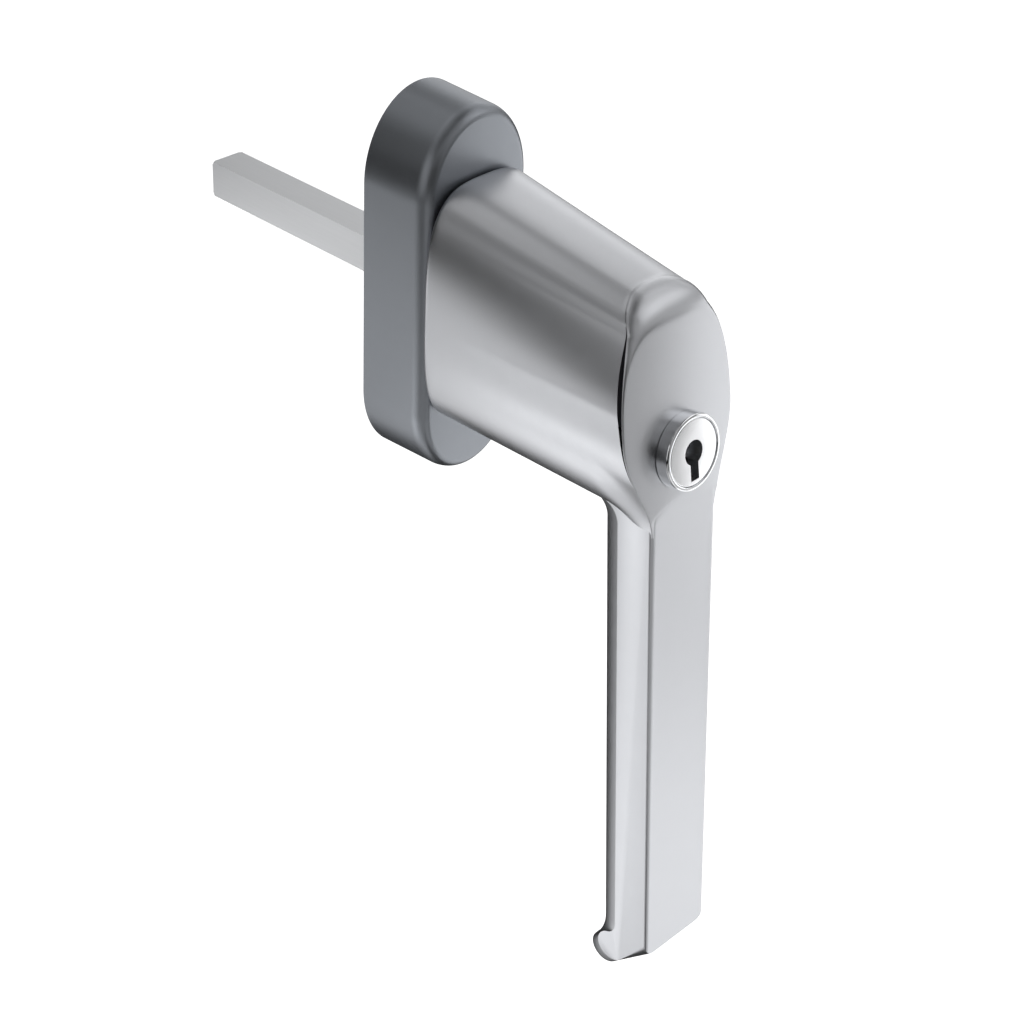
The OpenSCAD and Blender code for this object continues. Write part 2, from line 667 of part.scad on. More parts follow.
wafer_low = 1.9;
wafer_high = sqrt(pow(plug_core_d / 2, 2) - pow(wafer_w / 2, 2)) - 0.03;
wafer_floor = 3;
module wafers() {
    color("gold") in_lock() for (i = [0:wafer_count - 1]) translate([0, 0, wafer_s(i)])
        linear_extrude(wafer_t) difference() {
            translate([-wafer_w / 2, -wafer_high]) square([wafer_w, wafer_high + wafer_low]);
            translate([-1.5, -2.4 + 0.2 * i]) square([3, 3]);
        }
}

module wafer_springs() {
    color("silver") in_lock() for (i = [0:wafer_count - 1])
        translate([wafer_w / 2 - 0.75, wafer_low + seated, wafer_s(i) + wafer_t / 2])
            rotate([0, 0, 0]) mirror([0, 1, 0]) coil(0, wafer_floor - wafer_low - 2 * seated, 0.6, 0.2, 2);
}

module locking_bolt() {
    color("silver") translate([0, 0, -bolt_drop]) {
        rod(neck_root + bolt_recess, flange_depth + eps, bolt_d);
        rod(flange_depth, flange_depth + flange_t, flange_d);
        translate([0, 0, nose_raise]) rod(flange_depth + flange_t - eps, -nose_end, nose_pin_d);
    }
}

base_plate();
backing_plate();
rosette_cover();
bearing_bush();
glide_ring();
detent_spring_upper();
detent_spring_lower();
handle_body();
spindle();
spindle_roll_pin();
thrust_washer();
detent_cam();
retaining_ring();
lock_housing();
lock_grub_screw();
bolt_return_spring();
lock_plug();
lock_driver();
driver_screw();
wafer_springs();
wafers();
locking_bolt();
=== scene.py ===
# Looks of a locking window handle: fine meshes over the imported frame, materials, light and camera.
# The spindle axis is Y, the window lies at +Y, the room at -Y and +Z is up.
# A depth is a distance from the mounting face towards the room, and a drop one below the spindle axis.
# The part's sizes are in millimetres, and those of the floor and the lights in metres.
import json
import math
import bpy
import bmesh
from mathutils import Matrix, Vector


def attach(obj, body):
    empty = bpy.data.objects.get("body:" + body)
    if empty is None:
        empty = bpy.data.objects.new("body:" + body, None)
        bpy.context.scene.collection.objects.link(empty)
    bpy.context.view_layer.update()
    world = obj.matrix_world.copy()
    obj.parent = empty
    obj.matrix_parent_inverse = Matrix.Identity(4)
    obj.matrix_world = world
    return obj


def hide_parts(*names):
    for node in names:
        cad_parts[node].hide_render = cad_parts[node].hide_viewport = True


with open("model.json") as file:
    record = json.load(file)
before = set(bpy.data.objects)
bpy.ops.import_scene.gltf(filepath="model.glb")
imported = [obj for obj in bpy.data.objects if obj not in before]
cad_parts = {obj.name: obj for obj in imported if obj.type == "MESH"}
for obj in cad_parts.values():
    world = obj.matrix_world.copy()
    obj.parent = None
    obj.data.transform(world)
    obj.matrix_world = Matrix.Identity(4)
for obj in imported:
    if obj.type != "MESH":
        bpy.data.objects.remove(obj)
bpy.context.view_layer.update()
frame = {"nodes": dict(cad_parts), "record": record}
MM = 0.001

# Rosette, as in the part's source
ROSETTE_W = 25.6  # Width at the mounting face
ROSETTE_H = 71.0  # Height at the mounting face
ROSETTE_SIDE = 11.7  # Depth of the side wall, up to the crease
ROSETTE_DEPTH = 14.7  # Depth of the flat front
ROSETTE_BAND = 2.1  # Width of the rounded band between crease and flat front
ROSETTE_DRAFT = 0.4  # Inward draft of the side wall
ROSETTE_END = 1.2  # Height of the rounded ends as a multiple of half the width
COVER_WALL = 1.5  # Wall of the cover
GLIDE_D = 16.6  # Outer diameter of the glide ring in the cover
BOLT_D = 3.6  # Diameter of the locking bolt
BOLT_HOLE = 4.0  # Diameter of the two holes for the bolt in the cover
BOLT_DROP = 10.6  # Distance of the bolt below the spindle axis

# Clearances, as in the part's source
RUNNING = 0.05  # Radial clearance of a running fit
SEATED = 0.02  # Radial clearance of a seated piece

# Neck, as in the part's source
NECK_ROOT = 15.1  # Depth of the neck's rear end
NECK_EDGE = 1.2  # Rounding of the neck's edge next to the rosette
NECK_MID = 1.0  # Height of the section's widest place above the spindle axis
NECK_ROOT_W = 26.9  # Width at the rosette
NECK_ROOT_TOP = 23.7  # Height of the top above the spindle axis at the rosette
NECK_FRONT_W = 24.7  # Width behind the head
NECK_FRONT_TOP = 16.2  # Height of the top above the spindle axis behind the head
NECK_BOTTOM = 21.2  # Distance of the underside below the spindle axis
NECK_TOP_POWER = 3.2  # Roundness of the upper half, 2 for an ellipse
NECK_BOTTOM_POWER = 3.6  # Roundness of the lower half
COLLAR_D = 13.8  # Diameter of the collar behind the neck
POCKET = 8.4  # Depth at which the detent's pocket ends and the collar begins
SPINDLE = 7.0  # Side of the square spindle
SPINDLE_END = 37.0  # Depth of the spindle's end inside the handle
GRUB_D = 2.4  # Diameter of the grub screw that holds the lock
GRUB_DEPTH = 49.5  # Depth of the grub screw's axis

# Head, as in the part's source
HEAD_TILT = 9.5  # Backward tilt of the lock and of the face around it, in degrees
HEAD_CURVE = 900.0  # Radius of the face, seen from the side
HEAD_DEPTH = 64.3  # Depth of the face at the bend, on the centre line
HEAD_BEND = 17.0  # Distance of the bend below the spindle axis
HEAD_HALF_W = 13.5  # Widest half width
HEAD_MID = 4.2  # Distance of the widest place below the spindle axis
HEAD_RISE = 22.2  # Height above the widest place
HEAD_POWER = 2.3  # Roundness above the widest place, 2 for an ellipse
HEAD_SHOULDER = 1.0  # Width by which the neck's shoulders stand out beside the head's top
HEAD_TAIL = 20.0  # Length below the widest place over which the sides draw in to the grip
HEAD_TIP = 0.85  # Share of the lower height from which the outline stays inside the neck's
SHOULDER_FROM = 13  # Height at which the shoulders start
SHOULDER_RUN = 3  # Length over which they grow, upwards and out from the middle

# Head and neck, finer or softer here than in the part's source
HEAD_LIP = 2.0  # Distance behind the face at which the neck ends in the cut under the rim
HEAD_RIM = 0.9  # Thickness of the rim in front of the cut
HEAD_EDGE = 0.25  # Rounding of the head's edge
HEAD_SOFT = 5.0  # Rounding of the head's edge at its very top
HEAD_GROOVE = 0.9  # Distance by which the neck's end stays inside the rim
HEAD_UNDERCUT = 2.0  # Depth of the cut under the rim, towards the middle
HEAD_CROWN = 0.6  # Fall of the crowned face at the head's edge
NECK_FILLET = 4.0  # Radius of the fillet between neck and grip
SOFT_POWER = 5  # How late the head's edge softens towards its top
CUT_MID = 4  # Height at which the cut under the rim is deepest
CUT_ABOVE = 10.5  # Reach of the cut above that place
CUT_BELOW = 16  # Reach of the cut below it
CUT_POWER = 3  # How long the cut keeps its depth before it runs out
CUT_STEP = 0.2  # Distance of the cut's rear wall in front of the neck's end
EDGE_INSET = 0.05  # Distance of the neck's end inside the head's outline, where there is no cut
NECK_INSET = 0.1  # Least distance of the neck's end inside the head's half width, along the cut
NECK_BEHIND = 1.1  # Distance of the neck's end behind the face where there is no cut, in edge radii
RIM_BEHIND = 1.05  # Distance of the rim's rear behind the face where there is no cut, in edge radii
TURN_FROM, TURN_RUN = 6, 10  # Drop at which the neck's own section starts to hold, and length of the change
LATE_FROM, LATE_RUN = 0.8, 0.2  # Share of its run at which that section passes into the outline, and the rest
TIP_PROUD = 0.01  # How far the head's face may stand in front of the grip's at the bend
TIP_SINK, TIP_RUN = 0.1, 4  # How far it sinks back from there below the bend, and over what length

# Grip, as in the part's source
GRIP_W = 16.3  # Width
GRIP_LEAN = 4.55  # Forward lean, in degrees
GRIP_DROP = 112.4  # Distance of the front lower corner below the spindle axis
GRIP_SIDE = 7.6  # Depth of the flat side face, front to rear
GRIP_BACK = 4.6  # Rise of the rounded back behind the side face
GRIP_ROUND = 3.0  # Width over which the back rounds
GRIP_EDGE = 0.8  # Rounding of the front edges
CORNER_R = 2.3  # Radius of the lower corners, seen from the front
NOSE_R = 3.1  # Radius of the finger stop at the end
NOSE_BACK, NOSE_DROP = 8.5, 2.9  # Distances of its centre behind and below the front corner
HOLLOW_R = 3  # Radius of the hollow above the stop
# What these three grow by for each millimetre of the back's rise
NOSE_BACK_GAIN, NOSE_DROP_GAIN, HOLLOW_GAIN = 0.71, 0.9, 1.4
HEAD_END_GAP = 0.25  # Distance of the head's narrow end inside the grip's side

# Grip's upper end, in this mesh alone
GRIP_JOIN = 26  # Drop from which up to the bend the grip's front keeps behind the head's crowned face
GRIP_SINK = 0.02  # Distance by which it keeps behind it
GRIP_TONGUE = 3  # Height of the grip's rear end above the fillet, inside the neck
# Distances of the grip's slices from its side, close together where it rounds
GRIP_SLICES = [0, 0.03, 0.08, 0.15, 0.25, 0.36, 0.48, 0.6, 0.72, 0.85, 1, 1.15, 1.3, 1.5, 1.7, 1.9, 2.1, 2.3,
               2.5, 2.75, 3, 4, 5, 6, 7]

# Lock, as in the part's source
LOCK_DROP = 9.2  # Distance of the lock's centre below the spindle axis, on the head
LOCK_PROUD = 2.43  # Height of the lock's face above the head
LOCK_RING_D = 13.4  # Outer diameter of the ring
LOCK_BODY_D = 12.8  # Diameter of the body in the head
LOCK_LENGTH = 18.4  # Length, face to rear end
LOCK_ROOM = 0.4  # Room behind the lock in its bore
PLUG_FACE_D = 11.8  # Diameter of the plug's face
PLUG_FACE_T = 3.0  # Thickness of the plug's face
PLUG_CORE_D = 8.8  # Diameter of the plug's core
PLUG_SINK = 0.1  # Distance of the plug's face behind the ring's
KEYHOLE_D = 4.4  # Diameter of the round part of the keyhole
KEYHOLE_SLOT = 2.0  # Width of the keyhole's slot
KEYHOLE_REACH = 5.0  # Distance of the slot's end below the plug's centre
KEYWAY_UP, KEYWAY_DOWN = 2.2, 3.4  # Ends of the slot through the core, above and below the plug's centre
WAFER_W = 5.4  # Width of a wafer
WAFER_T = 1.0  # Thickness of a wafer
WAFER_PITCH = 2.6  # Distance from wafer to wafer
WAFER_COUNT = 4  # Number of wafers
WAFER_FIRST = 1.6  # Distance of the first wafer behind the plug's face piece
WAFER_MARGIN = 1  # Room before the first and behind the last wafer
WAFER_ROOM = 0.85  # Depth of the grooves into which the wafers rise
WAFER_DOWN = 3  # Distance of the wafer slots' end below the plug's centre

# Roundings of the lock, in this mesh alone
RING_ROUND, MOUTH_ROUND, FACE_ROUND, REAR_ROUND, EDGE_BREAK = 0.5, 0.12, 0.25, 0.2, 0.1
LEAST_SIDE = 2.1  # Least length of a side of a profile, in roundings
AXIS_R = 0.001  # Radius at which a turned piece closes round its axis

# Mesh making
MERGE = 1e-7  # Points nearer than this become one, in metres
CUTTER_OVER = 1  # How far a cutting tool passes the surface that it opens
COVER_CUT = 16  # Depth at which the tools that open the cover's front end
BOLT_BORE = 30  # Depth at which the bolt's bore in the neck ends
GRUB_BORE = 3  # Height of the grub screw's hole above the neck's underside
SHARP = 35  # Angle between faces from which their edge is sharp, in degrees
SHARP_SKIN = 28  # The same for the neck, the grip and the cover
SHARP_RING = 50  # The same for the lock's ring
# Steps in which rings and rounded stretches are drawn
NECK_SIDES = 288
ROOT_STEPS, NECK_STEPS, RIM_STEPS, FACE_STEPS = 8, 48, 12, 26
FRONT_STEPS, ARC_STEPS, NOSE_STEPS = 16, 12, 36
OVAL_STEPS, BAND_STEPS, BEVEL_STEPS, KEYHOLE_STEPS = 64, 16, 4, 48
ROUND_SIDES, HOLE_SIDES, LATHE_SIDES = 96, 48, 128

FACE_SLOPE = math.tan(math.radians(HEAD_TILT))
LEAN_SLOPE = math.tan(math.radians(GRIP_LEAN))
NECK_RUN = HEAD_DEPTH - NECK_ROOT
HEAD_END_W = GRIP_W / 2 - HEAD_END_GAP


def lerp(a, b, u):
    return a + (b - a) * u


def smooth(u):
    u = max(0.0, min(1.0, u))
    return u * u * (3 - 2 * u)


def sign(x):
    return (x > 0) - (x < 0)


# Meshes

def place(name, data):
    """A new object with this mesh, light or camera, linked to the scene."""
    obj = bpy.data.objects.new(name, data)
    bpy.context.scene.collection.objects.link(obj)
    return obj


def dress(mesh, name, sharp):
    """An object with this mesh, its normals outward and soft up to the sharp angle."""
    work = bmesh.new()
    work.from_mesh(mesh)
    bmesh.ops.remove_doubles(work, verts=work.verts, dist=MERGE)
    bmesh.ops.recalc_face_normals(work, faces=work.faces)
    work.to_mesh(mesh)
    work.free()
    mesh.shade_smooth()
    mesh.set_sharp_from_angle(angle=math.radians(sharp))
    return place(name, mesh)


def make(name, points, faces, sharp=SHARP):
    """A closed mesh object from points in millimetres."""
    mesh = bpy.data.meshes.new(name)
    mesh.from_pydata([tuple(c * MM for c in p) for p in points], [], faces)
    return dress(mesh, name, sharp)


def skin(rings):
    """Points and faces of a skin over closed rings, with flat ends."""
    n = len(rings[0])
    last = (len(rings) - 1) * n
    points = [p for ring in rings for p in ring]
    faces = []
    for j in range(0, last, n):
        for i in range(n):
            k = (i + 1) % n
            faces.append((j + i, j + k, j + n + k, j + n + i))
    faces.append(tuple(range(n)))
    faces.append(tuple(last + i for i in reversed(range(n))))
    return points, faces


def cylinder(start, end, d, sides=ROUND_SIDES):
    """Points and faces of a cylinder between two points."""
    a, b = Vector(start), Vector(end)
    axis = (b - a).normalized()
    u = axis.orthogonal().normalized()
    v = axis.cross(u)
    angles = [2 * math.pi * i / sides for i in range(sides)]
    r = d / 2
    return skin([[tuple(c + r * (u * math.cos(t) + v * math.sin(t))) for t in angles] for c in (a, b)])


def block(low, high):
    """Points and faces of an upright box between two corners."""
    (a, b, c), (x, y, z) = low, high
    return skin([[(a, b, h), (x, b, h), (x, y, h), (a, y, h)] for h in (c, z)])


def cut_out(target, tools, sharp=SHARP):
    """Takes each tool's space out of the target and gives the finished mesh its normals again."""
    name = target.name
    for points, faces in tools:
        tool = make("%s_tool" % name, points, faces)
        mod = target.modifiers.new("cut", "BOOLEAN")
        mod.operation, mod.solver, mod.object = "DIFFERENCE", "EXACT", tool
        bpy.context.view_layer.update()
        done = bpy.data.meshes.new_from_object(target.evaluated_get(bpy.context.evaluated_depsgraph_get()))
        target.modifiers.clear()
        old, target.data = target.data, done
        bpy.data.meshes.remove(old)
        bpy.data.objects.remove(tool)
    mesh = target.data
    bpy.data.objects.remove(target)
    return dress(mesh, name, sharp)


def gather(name, *parts):
    """One object from several closed shells, with their own soft normals."""
    work = bmesh.new()
    for part in parts:
        work.from_mesh(part.data)
        bpy.data.objects.remove(part)
    mesh = bpy.data.meshes.new(name)
    work.to_mesh(mesh)
    work.free()
    return place(name, mesh)


# The outer form of neck and head

def arc_y(z):
    """The arc of the head's face, seen from the side; it has the lock's tilt where the lock sits."""
    return FACE_SLOPE * (z + LOCK_DROP) + (z + LOCK_DROP) ** 2 / (2 * HEAD_CURVE)


def face_y(z):
    """y of the head's face on the centre line at a height."""
    return arc_y(z) - arc_y(-HEAD_BEND) - HEAD_DEPTH


def grip_y(z):
    """y of the grip's front at a height."""
    return -HEAD_DEPTH + LEAN_SLOPE * (z + HEAD_BEND)


def flank(v, power):
    """Half width of a rounded outline at a share v of its height."""
    return max(0.0, 1 - v ** power) ** (1 / power)


def turn(i):
    """Place of point i on a ring that starts at the right: side, up or down, and share of the height."""
    s = 4 * i / NECK_SIDES
    k = int(s)
    f = s - k
    side, up = (-1 if k in (1, 2) else 1), (1 if k < 2 else -1)
    return side, up, math.sin(math.pi / 2 * (f if k % 2 == 0 else 1 - f))


TURNS = [turn(i) for i in range(NECK_SIDES)]


def neck_point(t, u, inset):
    """x and z on the neck's section at a share u of its run, moved inward by inset."""
    side, up, v = t
    half = flank(v, NECK_TOP_POWER if up > 0 else NECK_BOTTOM_POWER)
    width = lerp(NECK_ROOT_W, NECK_FRONT_W, u) / 2 - inset
    top = lerp(NECK_ROOT_TOP, NECK_FRONT_TOP, u) - NECK_MID - inset
    bottom = NECK_BOTTOM + NECK_MID - inset
    return side * half * width, NECK_MID + v * (top if up > 0 else -bottom)


def neck_root_ring(a):
    """The neck's rounded rear edge, from its end face at 0 to its side at a quarter turn."""
    depth, inset = NECK_ROOT + NECK_EDGE * (1 - math.cos(a)), NECK_EDGE * (1 - math.sin(a))
    section = (neck_point(t, (depth - NECK_ROOT) / NECK_RUN, inset) for t in TURNS)
    return [(x, -depth, z) for x, z in section]


def head_side(u):
    """Half width of the head's drawn-in sides, from their widest place at 0 to the grip at 1."""
    return HEAD_END_W + (HEAD_HALF_W - HEAD_END_W) * (1 + math.cos(math.pi * u)) / 2


def head_half(z):
    """Half width of the head at a height: a rounded upper part and two long curves down to the grip."""
    if z > -HEAD_MID:
        return HEAD_HALF_W * flank(min(1.0, (z + HEAD_MID) / HEAD_RISE), HEAD_POWER)
    return head_side(min(1.0, (-HEAD_MID - z) / HEAD_TAIL))


def head_point(t):
    """x and z on the head's outline."""
    side, up, v = t
    reach = HEAD_RISE - HEAD_MID - NECK_MID if up > 0 else HEAD_TAIL + HEAD_MID + NECK_MID
    z = NECK_MID + up * v * reach
    half = head_half(z)
    if up < 0 and v > HEAD_TIP:
        half = min(half, NECK_FRONT_W / 2 * flank(v, NECK_BOTTOM_POWER))
    return side * half, z


HEAD = [head_point(t) for t in TURNS]


def cut_at(z):
    """How deep the cut under the head's rim is at a height, from 0 to 1."""
    reach = CUT_ABOVE if z > CUT_MID else CUT_BELOW
    return max(0.0, 1 - abs((z - CUT_MID) / reach) ** CUT_POWER)


def edge_at(z):
    """Rounding of the head's edge at a height."""
    return lerp(HEAD_EDGE, HEAD_SOFT, max(0.0, (z + HEAD_MID) / HEAD_RISE) ** SOFT_POWER)


def shoulder_at(x, z):
    """How far the neck's shoulders stand out beside the head's top."""
    rise = max(0.0, min(1.0, (z - SHOULDER_FROM) / SHOULDER_RUN))
    return HEAD_SHOULDER * rise * min(1.0, abs(x) / SHOULDER_RUN)


def crown_at(x):
    """Fall of the head's crowned face beside its centre line."""
    return HEAD_CROWN * (x / HEAD_HALF_W) ** 2


def front_y(x, z):
    """y of the head's crowned face, which sinks into the grip's front below the bend."""
    sink = TIP_SINK * smooth((-HEAD_BEND - z) / TIP_RUN) - TIP_PROUD
    return max(face_y(z) + crown_at(x), grip_y(z) + sink)


def head_inset(h, inset, spread=1):
    """A point of the head's outline moved inward by inset, and outward by a share of the shoulders."""
    x, z = h
    k = 1 - inset / math.hypot(x, z + HEAD_MID)
    return x * k + sign(x) * shoulder_at(x, z) * spread, (z + HEAD_MID) * k - HEAD_MID


def neck_lip(z):
    """Distance of the neck's end behind the face at a height."""
    return lerp(edge_at(z) * NECK_BEHIND, HEAD_LIP, cut_at(z))


def neck_ring(t):
    """The neck from its rounded root to the head, ruled straight above and turned into the grip below."""
    start = NECK_ROOT + NECK_EDGE
    late = smooth((t - LATE_FROM) / LATE_RUN)
    ring = []
    for where, h in zip(TURNS, HEAD):
        g = cut_at(h[1])
        end = -front_y(*h) - neck_lip(h[1])
        depth = lerp(start, end, t)
        root, here, last = (neck_point(where, (d - NECK_ROOT) / NECK_RUN, 0) for d in (start, depth, end))
        limit = head_half(last[1]) - max(NECK_INSET, HEAD_GROOVE * g)
        edge = head_inset(h, EDGE_INSET)
        goal = lerp(edge[0], sign(last[0]) * min(abs(last[0]), limit), g), lerp(edge[1], last[1], g)
        low = smooth((-h[1] - TURN_FROM) / TURN_RUN)
        x, z = (lerp(lerp(a, c, t), lerp(b, c, late), low) for a, b, c in zip(root, here, goal))
        ring.append((x, -depth, z))
    return ring


def head_under(wall):
    """The cut under the head's rim; wall 1 is its side at the neck and wall 0 its side at the rim."""
    ring = []
    for h in HEAD:
        g = cut_at(h[1])
        x, z = head_inset(h, lerp(EDGE_INSET, HEAD_UNDERCUT, g))
        behind = lerp(edge_at(h[1]) * RIM_BEHIND, lerp(HEAD_RIM, HEAD_LIP - CUT_STEP, wall), g)
        ring.append((x, front_y(*h) + behind, z))
    return ring


def head_rim(a):
    """The head's rounded edge, from its widest place at 0 to the face at a quarter turn."""
    ring = []
    for h in HEAD:
        e = edge_at(h[1])
        x, z = head_inset(h, e * (1 - math.cos(a)), math.cos(a))
        ring.append((x, front_y(x, z) + e * (1 - math.sin(a)), z))
    return ring


def head_face(k):
    """A ring on the head's face, at a share k of the way out to its rounded edge."""
    ring = []
    for x, _, z in head_rim(math.pi / 2):
        x, z = k * x, k * (z + HEAD_MID) - HEAD_MID
        ring.append((x, front_y(x, z), z))
    return ring


def neck_and_head():
    rings = [neck_root_ring(math.pi / 2 * i / ROOT_STEPS) for i in range(ROOT_STEPS + 1)]
    rings += [neck_ring(i / NECK_STEPS) for i in range(1, NECK_STEPS + 1)]
    rings += [head_under(1), head_under(0)]
    rings += [head_rim(math.pi / 2 * i / RIM_STEPS) for i in range(RIM_STEPS + 1)]
    rings += [head_face(1 - i / FACE_STEPS) for i in range(1, FACE_STEPS)]
    return skin(rings)


# The grip, as slices across its width; its side outlines are in y and z

LEAN = math.radians(GRIP_LEAN)
REAR_DIR = Vector((-math.sin(LEAN), -math.cos(LEAN)))
REAR_OUT = Vector((math.cos(LEAN), -math.sin(LEAN)))
CORNER = Vector((grip_y(-GRIP_DROP), -GRIP_DROP))


def polar(centre, r, a):
    return Vector((centre[0] + r * math.cos(a), centre[1] + r * math.sin(a)))


def arc(centre, r, start, end, steps, first=0):
    """Points on an arc between two angles; with first 1 its start is left out."""
    return [polar(centre, r, lerp(start, end, i / steps)) for i in range(first, steps + 1)]


def rear_at(z, rise):
    """A point on the grip's rear at a height, its back moved out by rise."""
    return Vector((grip_y(z) + (GRIP_SIDE + rise) / math.cos(LEAN), z))


def grip_outline(x, rise, inset, lift):
    """Side outline of the grip at x, its back moved out by rise; inset and lift round its front corners."""
    nose = CORNER + Vector((NOSE_BACK + NOSE_BACK_GAIN * rise, -NOSE_DROP - NOSE_DROP_GAIN * rise))
    hollow_r = HOLLOW_R + HOLLOW_GAIN * rise
    base = rear_at(-GRIP_DROP, rise) + hollow_r * REAR_OUT
    off = (base - nose).dot(REAR_OUT)
    along = (nose - base).dot(REAR_DIR)
    hollow = base + REAR_DIR * (along - math.sqrt((NOSE_R + hollow_r) ** 2 - off * off))
    front = CORNER + Vector((0, lift))
    meet = math.atan2(hollow[1] - nose[1], hollow[0] - nose[0])
    to_front = front - nose
    leave = math.atan2(to_front[1], to_front[0]) - 2 * math.pi + math.acos(min(1, NOSE_R / to_front.length))
    under = NECK_MID - (NECK_BOTTOM + NECK_MID) * flank(2 * abs(x) / NECK_FRONT_W, NECK_BOTTOM_POWER)
    fillet = rear_at(under - NECK_FILLET, rise) + Vector((NECK_FILLET, 0))
    out = []
    for i in range(FRONT_STEPS + 1):
        z = lerp(-GRIP_JOIN, -HEAD_BEND, i / FRONT_STEPS)
        out.append(Vector((max(grip_y(z), face_y(z) + crown_at(x) + GRIP_SINK) + inset, z)))
    out.append(fillet + Vector((0, NECK_FILLET + GRIP_TONGUE)))
    out += arc(fillet, NECK_FILLET, math.pi / 2, math.pi, ARC_STEPS)
    out += arc(hollow, hollow_r, math.pi - LEAN, meet + math.pi, ARC_STEPS)
    out += arc(nose, NOSE_R, meet, leave, NOSE_STEPS, first=1)
    out.append(front + Vector((inset, 0)))
    return out


def quarter(t, r):
    """How far a rounding of radius r has drawn back at a distance t from its edge."""
    return 0 if t >= r else r - math.sqrt(r * r - (r - t) ** 2)


def grip():
    xs = [GRIP_W / 2 - t for t in GRIP_SLICES] + [0.0] + [t - GRIP_W / 2 for t in reversed(GRIP_SLICES)]
    rings = []
    for x in xs:
        t = GRIP_W / 2 - abs(x)
        rise = GRIP_BACK * (1 - (1 - min(1, t / GRIP_ROUND)) ** 2)
        outline = grip_outline(x, rise, quarter(t, GRIP_EDGE), quarter(t, CORNER_R))
        rings.append([(x, q[0], q[1]) for q in outline])
    return skin(rings)


# The lock's own frame: s runs from the lock's face into the head

TILT = math.radians(HEAD_TILT)
LOCK_IN = Vector((0, math.cos(TILT), -math.sin(TILT)))
LOCK_DOWN = Vector((0, -math.sin(TILT), -math.cos(TILT)))
LOCK_FACE = Vector((0, face_y(-LOCK_DROP), -LOCK_DROP)) - LOCK_PROUD * LOCK_IN
WAFER_S = [PLUG_FACE_T + WAFER_FIRST + i * WAFER_PITCH for i in range(WAFER_COUNT)]
WAFERS_START, WAFERS_END = WAFER_S[0] - WAFER_MARGIN, WAFER_S[-1] + (WAFER_T + WAFER_MARGIN)


def lock_at(x, down, s):
    """A point in the lock's own frame: beside the axis, below it, and behind the lock's face."""
    return LOCK_FACE + Vector((x, 0, 0)) + LOCK_DOWN * down + LOCK_IN * s


def lock_block(x, down, s):
    """A box in the lock's own frame, each side given as its two ends."""
    corners = [(x[0], down[0]), (x[1], down[0]), (x[1], down[1]), (x[0], down[1])]
    return skin([[tuple(lock_at(a, b, depth)) for a, b in corners] for depth in s])


def lathe(profile):
    """A closed turned piece around the lock's axis; the profile lists (radius, s) and closes on itself."""
    points, faces = [], []
    m = len(profile)
    for i in range(LATHE_SIDES):
        a = 2 * math.pi * i / LATHE_SIDES
        points += [tuple(lock_at(r * math.sin(a), r * math.cos(a), s)) for r, s in profile]
    for i in range(LATHE_SIDES):
        j = (i + 1) % LATHE_SIDES
        for k in range(m):
            q = (k + 1) % m
            faces.append((i * m + k, j * m + k, j * m + q, i * m + q))
    return points, faces


def bevelled(corners):
    """Rounds a closed profile, given as (radius, s, rounding); a corner with rounding 0 stays."""
    out = []
    for before, (r, s, cut), after in zip(corners[-1:] + corners[:-1], corners, corners[1:] + corners[:1]):
        a, b, c = Vector(before[:2]), Vector((r, s)), Vector(after[:2])
        if cut == 0:
            out.append(tuple(b))
            continue
        u, v = (a - b).normalized(), (c - b).normalized()
        cut = min(cut, (a - b).length / LEAST_SIDE, (c - b).length / LEAST_SIDE)
        for k in range(BEVEL_STEPS + 1):
            t = k / BEVEL_STEPS
            out.append(tuple(b + u * cut * (1 - t) ** 2 + v * cut * t ** 2))
    return out


# Materials

MIX_SHARE, MIX_LOW, MIX_HIGH, MIX_RESULT = 0, 6, 7, 2  # Sockets of a Mix node for colours
BROAD_DETAIL, GRAIN_DETAIL = 4, 3
RELIEF = 0.0001  # Height of the grain, in metres


def material(name, color, metallic, rough, rough_var=0.03, bump=0.02, tone_var=0.03,
             noise=400.0, fine=6000.0, stretch=(1, 1, 1)):
    """A material whose roughness drifts broadly, and whose tone and relief follow a fine grain."""
    mat = bpy.data.materials.new(name)
    mat.use_nodes = True
    nodes, links = mat.node_tree.nodes, mat.node_tree.links
    shader = nodes["Principled BSDF"]
    shader.inputs["Metallic"].default_value = metallic
    where = nodes.new("ShaderNodeTexCoord")
    scale = nodes.new("ShaderNodeMapping")
    scale.inputs["Scale"].default_value = stretch
    links.new(where.outputs["Object"], scale.inputs["Vector"])
    broad = nodes.new("ShaderNodeTexNoise")
    broad.inputs["Scale"].default_value = noise
    broad.inputs["Detail"].default_value = BROAD_DETAIL
    grain = nodes.new("ShaderNodeTexNoise")
    grain.inputs["Scale"].default_value = fine
    grain.inputs["Detail"].default_value = GRAIN_DETAIL
    for node in (broad, grain):
        links.new(scale.outputs["Vector"], node.inputs["Vector"])
    rough_map = nodes.new("ShaderNodeMapRange")
    rough_map.inputs["To Min"].default_value = rough - rough_var
    rough_map.inputs["To Max"].default_value = rough + rough_var
    links.new(broad.outputs["Fac"], rough_map.inputs["Value"])
    links.new(rough_map.outputs["Result"], shader.inputs["Roughness"])
    tone = nodes.new("ShaderNodeMix")
    tone.data_type = "RGBA"
    tone.inputs[MIX_LOW].default_value = [c * (1 - tone_var) for c in color] + [1]
    tone.inputs[MIX_HIGH].default_value = [min(1, c * (1 + tone_var)) for c in color] + [1]
    links.new(grain.outputs["Fac"], tone.inputs[MIX_SHARE])
    links.new(tone.outputs[MIX_RESULT], shader.inputs["Base Color"])
    relief = nodes.new("ShaderNodeBump")
    relief.inputs["Strength"].default_value = bump
    relief.inputs["Distance"].default_value = RELIEF
    links.new(grain.outputs["Fac"], relief.inputs["Height"])
    links.new(relief.outputs["Normal"], shader.inputs["Normal"])
    return mat


